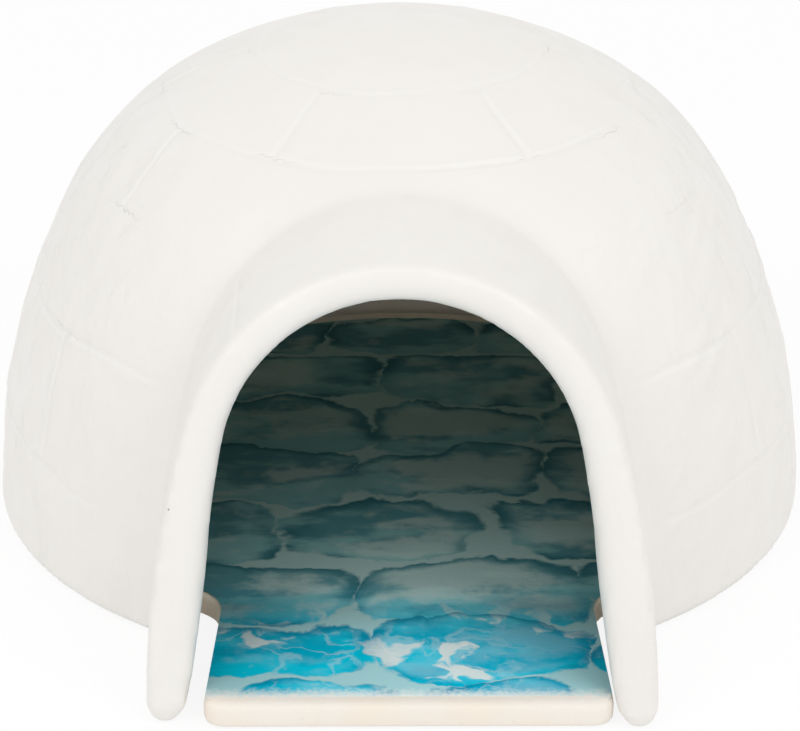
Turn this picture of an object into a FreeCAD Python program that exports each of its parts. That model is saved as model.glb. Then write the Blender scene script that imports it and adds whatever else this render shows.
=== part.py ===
"""Small-animal igloo: a slip-cast ceramic dome with an entrance tunnel, standing over a loose base plate.

Units are millimetres. +Z is up, the tunnel opens towards -Y, and the dome's axis is the Z axis.
Both ceramic pieces stand on the plane Z = 0.
"""

import FreeCAD, Part
import math
import os

Vector = FreeCAD.Vector
Rotation = FreeCAD.Rotation
Placement = FreeCAD.Placement

# Dome: its outline is three tangent arcs from the foot to the crown.
DOME_RADIUS = 80.5
WALL = 7.0
SIDE_RADIUS = 132.0
SIDE_END_DEG = 28.0
SHOULDER_RADIUS = 58.0
SHOULDER_END_DEG = 66.0
FOOT_ROUND = 2.0

# Entrance tunnel: an arch of two long leg arcs and a crown arc, run along Y and cut by a front that leans back.
TUNNEL_HALF_WIDTH = 45.0
TUNNEL_HEIGHT = 80.2
TUNNEL_LEG_RADIUS = 148.0
LEG_WALL = 7.8
CROWN_WALL = 6.0
DOOR_LEG_RADIUS = 190.0
TUNNEL_REACH = 98.6
FRONT_LEAN_DEG = 12.0
RIM_FLAT = 0.4
OUTER_FILLET_RADIUS = 3.0
INNER_FILLET_RADIUS = 2.5

# Snow-block joints: shallow grooves round the dome and up between the courses.
# Each bed joint lies where the dome's surface leans back by its angle.
BED_JOINT_DEGS = (9.6, 21.3, 37.4, 56.4, 72.4)
BLOCKS_PER_COURSE = 6
GROOVE_WIDTH = 1.8
GROOVE_DEPTH = 0.45
GROOVE_STOP_SIDE = 7.5
GROOVE_STOP_TOP = 1.6
GROOVE_STOP_FOOT = 1.5
TUNNEL_JOINT_DEG = 47.0

# Base plate: a round floor with a tongue that reaches through the tunnel. It lies loose, pushed to one side.
PLATE_THICKNESS = 5.0
PLATE_CLEARANCE = 3.0
TONGUE_CLEARANCE = 1.5
TONGUE_REACH = 98.8
TONGUE_CORNER = 3.0
NECK_ROUND = 8.5
PLATE_TOP_ROUND = 0.8
PLATE_FOOT_ROUND = 1.0
PLATE_SIDE_SHIFT = 1.0

# Printed layer, fired onto the flat top of the base plate. It leaves a bare margin round the floor and at the front.
PRINT_THICKNESS = 0.15
PRINT_MARGIN = 4.5
PRINT_FRONT_MARGIN = 1.5

# Sizes that follow from the ones above.
DOOR_HALF_WIDTH = TUNNEL_HALF_WIDTH - LEG_WALL
DOOR_HEIGHT = TUNNEL_HEIGHT - CROWN_WALL
PLATE_RADIUS = DOME_RADIUS - WALL - PLATE_CLEARANCE
TONGUE_HALF_WIDTH = DOOR_HALF_WIDTH - TONGUE_CLEARANCE
CUTTER_REACH = GROOVE_WIDTH * 2
STEEP_DEG = 45.0
SEAM_DEG = 90.0 + 90.0 / BLOCKS_PER_COURSE

ON_FACE = 1e-3
UP = Vector(0, 0, 1)
AXIS_FOOT = Vector(0, 0, 0)


def polar(centre, radius, degrees):
    """The point of the XZ plane at an angle above +X round a centre."""
    angle = math.radians(degrees)
    return centre + Vector(radius * math.cos(angle), 0, radius * math.sin(angle))


def arc(centre, radius, start, end):
    """A circular edge of the XZ plane between two angles above +X."""
    middle = (start + end) / 2
    points = [polar(centre, radius, angle) for angle in (start, middle, end)]
    return Part.Arc(*points).toShape()


def dome_arcs():
    """Centre, radius, first and last angle of the dome's three outline arcs, from the foot upwards."""
    side_centre = Vector(DOME_RADIUS - SIDE_RADIUS, 0, 0)
    side_top = polar(side_centre, SIDE_RADIUS, SIDE_END_DEG)
    shoulder_centre = polar(side_top, -SHOULDER_RADIUS, SIDE_END_DEG)
    shoulder_top = polar(shoulder_centre, SHOULDER_RADIUS, SHOULDER_END_DEG)
    crown_radius = shoulder_top.x / math.cos(math.radians(SHOULDER_END_DEG))
    crown_centre = polar(shoulder_top, -crown_radius, SHOULDER_END_DEG)
    return (
        (side_centre, SIDE_RADIUS, 0.0, SIDE_END_DEG),
        (shoulder_centre, SHOULDER_RADIUS, SIDE_END_DEG, SHOULDER_END_DEG),
        (crown_centre, crown_radius, SHOULDER_END_DEG, 90.0),
    )


def dome_body(inset):
    """The solid inside the dome's outline, drawn in by an inset."""
    edges = [arc(centre, radius - inset, start, end) for centre, radius, start, end in dome_arcs()]
    foot = Vector(DOME_RADIUS - inset, 0, 0)
    crown_centre, crown_radius, _, top = dome_arcs()[-1]
    crown = polar(crown_centre, crown_radius - inset, top)
    edges.append(Part.makeLine(crown, AXIS_FOOT))
    edges.append(Part.makeLine(AXIS_FOOT, foot))
    outline = Part.Wire(Part.__sortEdges__(edges))
    body = Part.Face(outline).revolve(AXIS_FOOT, UP, 360)
    body.rotate(AXIS_FOOT, UP, SEAM_DEG)
    return body


def arch_crown(half_width, height, leg_radius):
    """Centre height and radius of the arc that closes an arch tangent to its two legs."""
    leg_centre_x = leg_radius - half_width
    spare = leg_radius - height
    centre_z = (leg_centre_x ** 2 - spare ** 2) / (2 * spare)
    return centre_z, height - centre_z


def arch_arcs(half_width, height, leg_radius):
    """The three arcs of an arch in the XZ plane: right leg, crown and left leg."""
    centre_z, crown_radius = arch_crown(half_width, height, leg_radius)
    crown_centre = Vector(0, 0, centre_z)
    right_centre = Vector(half_width - leg_radius, 0, 0)
    left_centre = Vector(leg_radius - half_width, 0, 0)
    spring = math.degrees(math.atan2(centre_z, leg_radius - half_width))
    return [
        arc(right_centre, leg_radius, 0, spring),
        arc(crown_centre, crown_radius, spring, 180 - spring),
        arc(left_centre, leg_radius, 180 - spring, 180),
    ]


def rim_round():
    """The radius that rounds the tunnel's front rim: half of its thinnest wall, less a narrow flat."""
    outer = Part.Wire(arch_arcs(TUNNEL_HALF_WIDTH, TUNNEL_HEIGHT, TUNNEL_LEG_RADIUS))
    inner = Part.Wire(arch_arcs(DOOR_HALF_WIDTH, DOOR_HEIGHT, DOOR_LEG_RADIUS))
    return (outer.distToShape(inner)[0] - RIM_FLAT) / 2


def arch_body(half_width, height, leg_radius, reach):
    """An arch that runs along Y from the dome's axis to a front face that leans back from its foot at the reach."""
    sill = Part.makeLine(Vector(-half_width, 0, 0), Vector(half_width, 0, 0))
    edges = arch_arcs(half_width, height, leg_radius) + [sill]
    outline = Part.Face(Part.Wire(Part.__sortEdges__(edges)))
    return outline.extrude(Vector(0, -reach, 0)).cut(front_waste(half_width, height, reach))


def front_waste(half_width, height, reach):
    """The block of space in front of the leaning front face, wider and taller than the arch."""
    width = 4 * half_width
    tall = 2 * height
    block = Part.makeBox(width, reach, tall, Vector(-width / 2, -reach, -height / 2))
    lean = Rotation(Vector(1, 0, 0), -FRONT_LEAN_DEG)
    block.Placement = Placement(Vector(0, -reach, 0), lean)
    return block


def edges_where(shape, test):
    """The edges of a shape whose middle point passes a test."""
    found = []
    for edge in shape.Edges:
        middle = edge.valueAt((edge.FirstParameter + edge.LastParameter) / 2)
        if test(middle):
            found.append(edge)
    return found


def touches(shape, point):
    """True where a point lies on the outside of a solid."""
    return shape.Shells[0].distToShape(Part.Vertex(point))[0] < ON_FACE


def joined_with_round(dome, tunnel, radius):
    """The dome and the tunnel as one solid, rounded along the line where they meet."""
    both = dome.fuse(tunnel).removeSplitter()
    seam = edges_where(both, lambda p: p.z > ON_FACE and touches(dome, p) and touches(tunnel, p))
    return both.makeFillet(radius, seam)


def on_front(point):
    """True where a point lies on the tunnel's leaning front face."""
    front_y = -TUNNEL_REACH + point.z * math.tan(math.radians(FRONT_LEAN_DEG))
    return point.z > ON_FACE and abs(point.y - front_y) < ON_FACE


def outline_at(lean, offset):
    """The point off the dome's outline where its surface leans back by an angle."""
    for centre, radius, _, end in dome_arcs():
        if lean <= end:
            return polar(centre, radius + offset, lean)
    raise ValueError("no surface leans back further than the crown")


def ring_cutter(lean):
    """A ring across the dome's surface, for the bed joint on top of a course: upright-walled where the dome is flat."""
    middle = outline_at(lean, 0)
    steep = lean < STEEP_DEG
    half_r = CUTTER_REACH if steep else GROOVE_WIDTH / 2
    half_z = GROOVE_WIDTH / 2 if steep else CUTTER_REACH
    low = Vector(0, 0, middle.z - half_z)
    return Part.makeCylinder(middle.x + half_r, 2 * half_z, low).cut(
        Part.makeCylinder(middle.x - half_r, 2 * half_z, low)
    )


def upright_cutter(low, high, azimuth):
    """A slab across the dome's surface between two bed joints, for an upright joint at an azimuth from the front."""
    corners = [
        outline_at(low, -CUTTER_REACH),
        outline_at(low, CUTTER_REACH),
        outline_at(high, CUTTER_REACH),
        outline_at(high, -CUTTER_REACH),
    ]
    side = Part.Face(Part.makePolygon(corners + corners[:1]))
    slab = side.extrude(Vector(0, GROOVE_WIDTH, 0))
    slab.translate(Vector(0, -GROOVE_WIDTH / 2, 0))
    slab.rotate(AXIS_FOOT, UP, azimuth - 90)
    return slab


def tunnel_cutter(angle):
    """A bar along the tunnel's crown, for a joint at an angle from the top, stopped short of the rim and of the dome."""
    centre_z, crown_radius = arch_crown(TUNNEL_HALF_WIDTH, TUNNEL_HEIGHT, TUNNEL_LEG_RADIUS)
    middle = polar(Vector(0, 0, centre_z), crown_radius, 90 - angle)
    front_y = -TUNNEL_REACH + middle.z * math.tan(math.radians(FRONT_LEAN_DEG)) + rim_round() + GROOVE_WIDTH
    low = crown_radius - GROOVE_DEPTH
    bar = Part.makeBox(GROOVE_WIDTH, -front_y, CUTTER_REACH, Vector(-GROOVE_WIDTH / 2, front_y, low))
    bar.rotate(AXIS_FOOT, Vector(0, 1, 0), angle)
    bar.translate(Vector(0, 0, centre_z))
    return bar.cut(dome_body(-OUTER_FILLET_RADIUS - GROOVE_WIDTH))


def block_grooves():
    """The grooves of the dome, kept to their depth and stopped short of the tunnel, and the tunnel's two joints."""
    cutters = [ring_cutter(lean) for lean in BED_JOINT_DEGS]
    step = 360.0 / BLOCKS_PER_COURSE
    lowest = math.degrees(math.asin((FOOT_ROUND + GROOVE_STOP_FOOT) / SIDE_RADIUS))
    starts = (lowest,) + BED_JOINT_DEGS[:-1]
    for course, (low, high) in enumerate(zip(starts, BED_JOINT_DEGS)):
        half_bond = step / 2 if course % 2 == 0 else 0.0
        for block in range(BLOCKS_PER_COURSE):
            cutters.append(upright_cutter(low, high, half_bond + block * step))
    quiet = arch_body(
        TUNNEL_HALF_WIDTH + GROOVE_STOP_SIDE,
        TUNNEL_HEIGHT + GROOVE_STOP_TOP,
        TUNNEL_LEG_RADIUS + GROOVE_STOP_SIDE,
        TUNNEL_REACH,
    )
    net = cutters[0].fuse(cutters[1:]).cut([dome_body(GROOVE_DEPTH), quiet])
    return [net, tunnel_cutter(TUNNEL_JOINT_DEG), tunnel_cutter(-TUNNEL_JOINT_DEG)]


def igloo_dome():
    """The glazed shell: dome and tunnel in one casting, open below and at the door."""
    outside = joined_with_round(
        dome_body(0),
        arch_body(TUNNEL_HALF_WIDTH, TUNNEL_HEIGHT, TUNNEL_LEG_RADIUS, TUNNEL_REACH),
        OUTER_FILLET_RADIUS,
    )
    inside = joined_with_round(
        dome_body(WALL),
        arch_body(DOOR_HALF_WIDTH, DOOR_HEIGHT, DOOR_LEG_RADIUS, TUNNEL_REACH),
        INNER_FILLET_RADIUS,
    )
    shell = outside.cut(inside)
    shell = shell.makeFillet(rim_round(), edges_where(shell, on_front))
    shell = shell.makeFillet(FOOT_ROUND, edges_where(shell, lambda p: abs(p.z) < ON_FACE))
    return shell.cut(block_grooves())


def keyhole_slab(radius, half_width, reach, corner, neck, thickness):
    """A slab at Z = 0: a round floor with a tongue to the front, rounded at the neck and at the tongue's corners."""
    floor = Part.makeCylinder(radius, thickness)
    floor.rotate(AXIS_FOOT, UP, SEAM_DEG)
    tongue = Part.makeBox(2 * half_width, reach, thickness, Vector(-half_width, -reach, 0))
    slab = floor.fuse(tongue).removeSplitter()

    neck_y = -math.sqrt(radius ** 2 - half_width ** 2)

    def upright_at(point, y):
        inside = ON_FACE < point.z < thickness - ON_FACE
        return inside and abs(abs(point.x) - half_width) < ON_FACE and abs(point.y - y) < ON_FACE

    slab = slab.makeFillet(corner, edges_where(slab, lambda p: upright_at(p, -reach)))
    return slab.makeFillet(neck, edges_where(slab, lambda p: upright_at(p, neck_y)))


def base_plate():
    """The bare ceramic floor, rounded over along its top and bottom edges."""
    slab = keyhole_slab(
        PLATE_RADIUS, TONGUE_HALF_WIDTH, TONGUE_REACH, TONGUE_CORNER, NECK_ROUND, PLATE_THICKNESS
    )
    slab = slab.makeFillet(PLATE_TOP_ROUND, edges_where(slab, lambda p: abs(p.z - PLATE_THICKNESS) < ON_FACE))
    slab = slab.makeFillet(PLATE_FOOT_ROUND, edges_where(slab, lambda p: abs(p.z) < ON_FACE))
    slab.translate(Vector(PLATE_SIDE_SHIFT, 0, 0))
    return slab


def ice_print():
    """The printed layer on the flat of the plate's top."""
    layer = keyhole_slab(
        PLATE_RADIUS - PRINT_MARGIN,
        TONGUE_HALF_WIDTH - PLATE_TOP_ROUND,
        TONGUE_REACH - PRINT_FRONT_MARGIN,
        TONGUE_CORNER - PLATE_TOP_ROUND,
        NECK_ROUND + PLATE_TOP_ROUND,
        PRINT_THICKNESS,
    )
    layer.translate(Vector(PLATE_SIDE_SHIFT, 0, PLATE_THICKNESS))
    return layer


def main():
    os.makedirs("parts", exist_ok=True)
    nodes = {
        "igloo_dome": igloo_dome(),
        "base_plate": base_plate(),
        "ice_print": ice_print(),
    }
    for name, shape in nodes.items():
        if not shape.isValid() or len(shape.Solids) != 1:
            raise ValueError(name + " is not one valid solid")
        print(f"{name}: {len(shape.Faces)} faces, {shape.Volume / 1000:.1f} cm3")
        shape.Solids[0].exportStep(os.path.join("parts", name + ".step"))


main()
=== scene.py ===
"""Ceramic pet igloo: a glazed snow-block shell over a loose clay plate with a print of ice stones.

Lengths are metres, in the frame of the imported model: +Z is up and the doorway faces -Y.
"""

import math

import bmesh
import bpy
from bpy.props import FloatProperty, FloatVectorProperty, IntProperty, PointerProperty
from bpy.types import Operator, Panel, PropertyGroup
from mathutils import Matrix, Vector, noise


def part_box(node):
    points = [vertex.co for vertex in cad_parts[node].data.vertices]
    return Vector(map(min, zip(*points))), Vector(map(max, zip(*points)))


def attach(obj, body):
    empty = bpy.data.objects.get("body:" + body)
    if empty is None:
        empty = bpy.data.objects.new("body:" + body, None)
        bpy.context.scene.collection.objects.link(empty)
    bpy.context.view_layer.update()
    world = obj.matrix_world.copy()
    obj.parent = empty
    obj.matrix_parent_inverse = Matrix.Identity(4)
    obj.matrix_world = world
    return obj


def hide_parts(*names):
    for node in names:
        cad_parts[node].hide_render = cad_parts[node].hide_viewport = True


bl_info = {
    "name": "Ceramic Pet Igloo",
    "version": (1, 0, 0),
    "blender": (4, 5, 0),
    "location": "View3D > Sidebar > Igloo",
    "description": "Models a glazed ceramic igloo, its clay plate and its ice-stone print",
    "category": "Object",
}

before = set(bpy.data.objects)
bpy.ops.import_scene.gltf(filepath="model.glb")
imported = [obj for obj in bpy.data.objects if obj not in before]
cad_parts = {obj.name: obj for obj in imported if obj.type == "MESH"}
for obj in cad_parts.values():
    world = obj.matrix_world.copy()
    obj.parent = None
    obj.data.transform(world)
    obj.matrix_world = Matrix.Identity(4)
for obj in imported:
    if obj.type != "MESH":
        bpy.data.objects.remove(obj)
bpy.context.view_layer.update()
SHELL_LOW, SHELL_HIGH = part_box("igloo_dome")
PLATE_LOW, PLATE_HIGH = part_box("base_plate")
PRINT_LOW, PRINT_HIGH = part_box("ice_print")
PLATE_MIDDLE = (PLATE_HIGH.x + PLATE_LOW.x) / 2
PRINT_INSET = PLATE_HIGH.y - PRINT_HIGH.y

MM = 0.001
UPWARD = Vector((0, -1, 0))
DOWNWARD = Vector((0, 1, 0))
ROUND_Z = Vector((0, 0, 1))
ORIGIN = Vector((0, 0, 0))

# Mesh fineness.
ARC_STEP = 2.0 * MM
SPIN_STEPS = 180
ARCH_LEG_STEPS = 22
ARCH_CROWN_STEPS = 44
FLARE_STEPS = 24
EDGE_SEGMENTS = 4
RIM_SEGMENTS = 8
# An edge that turns by more than this is sharp.
SHARP = 0.3
# How the doorway's flare grows towards the foot: 1 is a straight slope, 2 a parabola.
FLARE_POWER = 1.3
# How far a cutting solid runs past what it cuts.
SKIRT = 6 * MM
# Points closer than this are one, and a point this close to a surface lies on it.
MERGE = 1e-6
TOUCH = 1e-5
# The legs' front feet: how high and how deep they reach, and how high their lower edges do.
FOOT_HEIGHT = 8 * MM
FOOT_DEPTH = 9 * MM
FOOT_EDGE = 2.5 * MM
# Rounds of smoothing, and how far the seam inside is smoothed.
SURFACE_ROUNDS = 2
FOOT_ROUNDS = 14
SEAM_ROUNDS = 10
SEAM_REACH = 4 * MM


def size_setting(name, description, default):
    """A length that a user may change."""
    return FloatProperty(name=name, description=description, default=default, unit="LENGTH")


def angle_setting(name, description, degrees):
    """An angle that a user may change, given in degrees."""
    return FloatProperty(name=name, description=description, default=math.radians(degrees), unit="ROTATION")


def colour_setting(name, description, default):
    """A colour that a user may change."""
    return FloatVectorProperty(name=name, description=description, default=default, subtype="COLOR")


class ShellSettings(PropertyGroup):
    """Sizes of the glazed shell."""

    dome_radius: size_setting("Dome radius", "Radius of the dome's foot", (SHELL_HIGH.x - SHELL_LOW.x) / 2)
    wall: size_setting("Wall", "Thickness of the dome's wall", 7.0 * MM)
    side_radius: size_setting("Side radius", "Radius of the outline's lowest arc", 132 * MM)
    side_end: angle_setting("Side end", "Lean where the lowest arc ends", 28)
    shoulder_radius: size_setting("Shoulder radius", "Radius of the outline's middle arc", 58 * MM)
    shoulder_end: angle_setting("Shoulder end", "Lean where the middle arc ends", 66)
    foot_round: size_setting("Foot round", "Rounding of the dome's foot", 2.0 * MM)
    tunnel_half_width: size_setting("Tunnel half width", "Half the tunnel's width at its foot", 44.8 * MM)
    tunnel_height: size_setting("Tunnel height", "Height of the tunnel's crown", 80.7 * MM)
    tunnel_leg_radius: size_setting("Tunnel leg radius", "Radius of the tunnel's bowed sides", 187 * MM)
    leg_wall: size_setting("Leg wall", "Thickness of the tunnel's legs at the foot", 9.9 * MM)
    crown_wall: size_setting("Crown wall", "Thickness of the tunnel at its crown", 7.0 * MM)
    door_leg_radius: size_setting("Door leg radius", "Radius of the doorway's bowed sides", 250 * MM)
    reach: size_setting("Reach", "How far the tunnel's foot stands out", 98.8 * MM)
    front_lean: angle_setting("Front lean", "How far the front leans back", 11.2)
    front_yaw: angle_setting("Front yaw", "How far the front turns to the left", 1.4)
    door_draft: angle_setting("Door draft", "How the doorway widens inwards", 3.5)
    rim_outer_round: size_setting("Rim outer round", "Rounding of the rim's outer edge", 0.8 * MM)
    rim_inner_round: size_setting("Rim inner round", "Rounding of the rim's inner edge", 4.2 * MM)
    leg_outer_round: size_setting("Leg outer round", "Rounding of the legs' feet outside", 1.8 * MM)
    leg_flare: size_setting("Leg flare", "How far the doorway widens at the legs' feet", 5.2 * MM)
    leg_inner_round: size_setting("Leg inner round", "Rounding of the legs' feet inside", 3.6 * MM)
    flare_height: size_setting("Flare height", "Height where the doorway starts to widen", 34 * MM)
    tunnel_joint: angle_setting("Tunnel joint", "Place of the tunnel's own joint", 47)
    fineness: size_setting("Fineness", "Size of the finished mesh's faces", 1.18 * MM)


class JointSettings(PropertyGroup):
    """The pressed joints between the snow blocks and the hand-worked surface."""

    blocks: IntProperty(name="Blocks", description="Snow blocks in each course", default=6, min=3)
    depth: size_setting("Depth", "Depth of a joint's line", 0.13 * MM)
    width: size_setting("Width", "Width of a joint's line", 1.0 * MM)
    lip: size_setting("Lip", "Height of the lip beside a joint", 0.17 * MM)
    lip_place: size_setting("Lip place", "Distance of the lip from the joint's line", 1.5 * MM)
    reach: size_setting("Reach", "How far from a joint its relief reaches", 5.0 * MM)
    wander: size_setting("Wander", "How far a joint strays from its course", 1.2 * MM)
    quiet: size_setting("Quiet", "Plain strip left beside the tunnel", 8.0 * MM)
    swell: size_setting("Swell", "Height of the broad swells", 0.32 * MM)
    dab: size_setting("Dab", "Height of the finger dabs", 0.30 * MM)
    stroke: size_setting("Stroke", "Height of the tool strokes", 0.50 * MM)


class PlateSettings(PropertyGroup):
    """Sizes of the clay plate and of its printed layer."""

    radius: size_setting("Radius", "Radius of the round floor", (PLATE_HIGH.x - PLATE_LOW.x) / 2)
    thickness: size_setting("Thickness", "Thickness of the plate", PLATE_HIGH.z - PLATE_LOW.z)
    tongue_half_width: size_setting("Tongue half width", "Half the tongue's width at its front", 35.8 * MM)
    tongue_taper: size_setting("Tongue taper", "How much narrower each side is at the neck", 1.3 * MM)
    reach: size_setting("Reach", "How far the tongue stands out", -PLATE_LOW.y)
    corner: size_setting("Corner", "Rounding of the tongue's corners", 3 * MM)
    neck: size_setting("Neck", "Rounding of the tongue's neck", 8.7 * MM)
    edge_round: size_setting("Edge round", "Rounding of the plate's edges", 1.2 * MM)
    side_shift: size_setting("Side shift", "How far the plate lies to the right", PLATE_MIDDLE + 0.2 * MM)
    print_margin: size_setting("Print margin", "Bare margin round the print's disc", PRINT_INSET - 1.9 * MM)
    print_front: size_setting("Print front", "Bare margin in front of the printed layer", 1.1 * MM)
    print_side: size_setting("Print side", "Bare margin beside the print on the tongue", 0.35 * MM)
    print_forward: size_setting("Print forward", "How far the print's disc lies to the front", 1.9 * MM)
    print_thickness: size_setting("Print thickness", "Thickness of the print", PRINT_HIGH.z - PRINT_LOW.z)
    fineness: size_setting("Fineness", "Size of the finished mesh's faces", 0.72 * MM)


class FinishSettings(PropertyGroup):
    """Colours of the glaze, the clay and the print, painted highlight and painted shade among them."""

    glaze: colour_setting("Glaze", "White of the glaze", (0.86, 0.84, 0.807))
    glaze_warm: colour_setting("Warm glaze", "Glaze where it lies thin", (0.82, 0.787, 0.727))
    # Painted highlight: the colour that lightens the joints' lips, as if they caught the light.
    lip_painted_highlight: colour_setting("Lip glaze", "Glaze on the lips of the joints", (0.91, 0.90, 0.87))
    # Partly glaze pooling and partly painted shade: the colour that darkens the joints' lines.
    joint_pool_and_painted_shade: colour_setting("Pooled glaze", "Glaze pooled in the joints", (0.74, 0.725, 0.68))
    clay: colour_setting("Clay", "Bare fired clay", (0.90, 0.85, 0.785))
    clay_warm: colour_setting("Warm clay", "Warmer patches of the clay", (0.93, 0.79, 0.61))
    speck: colour_setting("Speck", "Fine specks in glaze and clay", (0.30, 0.24, 0.18))
    ice_light: colour_setting("Light ice", "Stones of the tongue", (0.0, 0.62, 0.83))
    ice_deep: colour_setting("Deep ice", "Shaded stones of the tongue", (0.0, 0.47, 0.68))
    ice_line: colour_setting("Ice outline", "Outlines on the tongue", (0.0, 0.30, 0.48))
    ice_pale: colour_setting("Pale ice", "Clouds and veins on the tongue", (0.78, 0.86, 0.85))
    ice_gap: colour_setting("Ice gap", "Gaps between the tongue's stones", (0.40, 0.69, 0.73))
    # Painted shade: the cabin inks are darker, greyer copies of the tongue's inks, standing in for the shade
    # under the dome.
    shade_painted_cabin_light: colour_setting("Cabin light ice", "Stones in the cabin", (0.20, 0.40, 0.40))
    shade_painted_cabin_deep: colour_setting("Cabin deep ice", "Shaded stones in the cabin", (0.085, 0.235, 0.26))
    shade_painted_cabin_line: colour_setting("Cabin outline", "Outlines in the cabin", (0.03, 0.135, 0.16))
    shade_painted_cabin_pale: colour_setting("Cabin pale ice", "Clouds in the cabin's stones", (0.42, 0.53, 0.49))
    shade_painted_cabin_gap: colour_setting("Cabin gap", "Gaps between the cabin's stones", (0.31, 0.45, 0.43))


# Bed joints: the lean of the dome where each lies, how plainly it shows,
# and 1 for a lip above it or -1 for one below.
BED_JOINTS = (
    (math.radians(9.6), 0.75, -1),
    (math.radians(21.3), 0.85, -1),
    (math.radians(37.4), 0.25, 1),
    (math.radians(56.4), 0.85, 1),
    (math.radians(72.4), 0.70, 1),
)
# How plainly the upright joints of each course show, foot upwards.
UPRIGHT_SHOWS = (0.35, 1.2, 0.45, 1.15, 0.85)
# Middle size of the printed ice stones, and the inks that each set of colours has.
STONE_WIDTH = 35 * MM
STONE_DEPTH = 23 * MM
INKS = ("light", "deep", "line", "pale", "gap")
# How far the print's front edge slopes, and how deep it sinks.
PRINT_SLOPE = 2.0 * MM
PRINT_SINK = 0.55 * MM
# Unevenness of the plate's top, and the sizes of the shell's hand-worked marks.
WAVE_HEIGHT = 0.10 * MM
WAVE_SIZE = 22 * MM
SWELL_SIZE = 34 * MM
DAB_SIZE = 8.5 * MM
STROKE_LENGTH = 16 * MM
STROKE_WIDTH = 3.6 * MM
STROKE_SLANT = 0.6
STROKE_PATCH = 21 * MM
WANDER_SIZE = 14 * MM
# The lip on a joint's other side, as a share of its main lip.
LESSER_LIP = 0.45
# How plainly the tunnel's own joint shows at the left and at the right.
TUNNEL_LEFT_SHOWS = 0.7
TUNNEL_RIGHT_SHOWS = 0.15
# A point this close to the drawn outside is moved back onto it.
LEVEL_REACH = 0.6 * MM
# The distance from the tunnel that stands for the dome's whole back.
FAR = 1.0
# Fades on the shell: the two values of what is measured between which each one runs.
# By the height over the dome's outline, and by the depth under it.
DOME_OUTSIDE = (-2.5 * MM, -1.0 * MM)
CLEAR_OF_DOME = (2 * MM, 5 * MM)
CABIN_INSIDE = (4.5 * MM, 6.0 * MM)
# By the distance from the tunnel's outside, and from the doorway's.
BESIDE_TUNNEL = (-1.0 * MM, 3.0 * MM)
TUNNEL_OUTSIDE = (-2.5 * MM, -0.5 * MM)
DOORWAY_INSIDE = (0.4 * MM, 1.5 * MM)
# By the distance behind the tunnel's front.
BEHIND_RIM = (3 * MM, 5 * MM)
DEEP_IN_DOORWAY = (22 * MM, 32 * MM)
# By the height over the floor.
ABOVE_FOOT = (1.0 * MM, 5.0 * MM)
UNDERSIDE = (0.05 * MM, 0.35 * MM)
# By the way to the side, the turn to the side and the lean of the dome.
WORKED_SIDE = (30 * MM, 60 * MM)
SEAM_LEFT = (8 * MM, 24 * MM)
SIDE_TURN = (math.radians(38), math.radians(75))
UPPER_LEAN = (math.radians(45), math.radians(52))
# By the distance from the seam between dome and tunnel, and by the distance of the levelled skin from it.
SEAM_FADE = (2.6 * MM, 1.0 * MM)
LEVEL_FADE = (1.5 * MM, 3.5 * MM)
# By noise: where the joints show and where the tool strokes lie.
JOINT_PATCHES = (-0.75, 0.45)
STROKE_PATCHES = (-0.25, 0.35)
# How far under the dome's outline the tunnel starts, and how wide its seam is.
TUNNEL_START = 1.5 * MM
SEAM_WIDTH = 3 * MM
# Shares: of the hand working that is left at the front and on the tunnel,
# and how plainly the seam shows everywhere and how much more at the left.
FRONT_WORK = 0.2
TUNNEL_WORK = 0.2
SEAM_SHOWS = 0.2
SEAM_LEFT_SHOWS = 0.6
# Shares: of the upper bed joints that the sides lose, of the tunnel's height where the plain strip beside it
# starts to narrow, of the strip's width that is lost at the crown, and of its width where the joints start.
SIDE_LOSS = 0.7
CROWN_START = 0.75
CROWN_LOSS = 0.85
STRIP_START = 0.25
# Size of the noise that the joints fade by, as a share of the one that they stray by.
FADE_SCALE = 0.6
# What each vertex of the shell keeps for its material.
SHELL_VALUES = ("bed_gap", "bed_shows", "upright_gap", "upright_shows", "bare")
# Kinds of socket in a node group.
NUMBER = "NodeSocketFloat"
VECTOR = "NodeSocketVector"
COLOUR = "NodeSocketColor"


def draw_line(bm, start, place):
    """A straight edge from a vertex to a place; returns its far vertex."""
    end = bmesh.ops.extrude_vert_indiv(bm, verts=[start])["verts"][0]
    end.co = place
    return end


def draw_arc(bm, start, centre, axis, angle, steps=None):
    """An arc of edges from a vertex round a centre; returns its far vertex."""
    if steps is None:
        radius = (start.co - Vector(centre)).length
        steps = max(3, math.ceil(radius * angle / ARC_STEP))
    made = bmesh.ops.spin(bm, geom=[start], cent=centre, axis=axis, angle=angle, steps=steps)
    return next(item for item in made["geom_last"] if isinstance(item, bmesh.types.BMVert))


def extruded(bm, faces, move):
    """Extrudes some faces of a bmesh; returns the moved vertices."""
    run = bmesh.ops.extrude_face_region(bm, geom=faces)["geom"]
    moved = [item for item in run if isinstance(item, bmesh.types.BMVert)]
    bmesh.ops.translate(bm, verts=moved, vec=move)
    return moved


def spun_round(bm):
    """Turns a bmesh's outline once round the Z axis, with its poles closed and its faces outwards."""
    outline = bm.verts[:] + bm.edges[:]
    bmesh.ops.spin(
        bm, geom=outline, cent=ORIGIN, axis=ROUND_Z, angle=math.tau, steps=SPIN_STEPS, use_merge=True
    )
    bmesh.ops.remove_doubles(bm, verts=bm.verts, dist=MERGE)
    bmesh.ops.recalc_face_normals(bm, faces=bm.faces)


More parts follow.
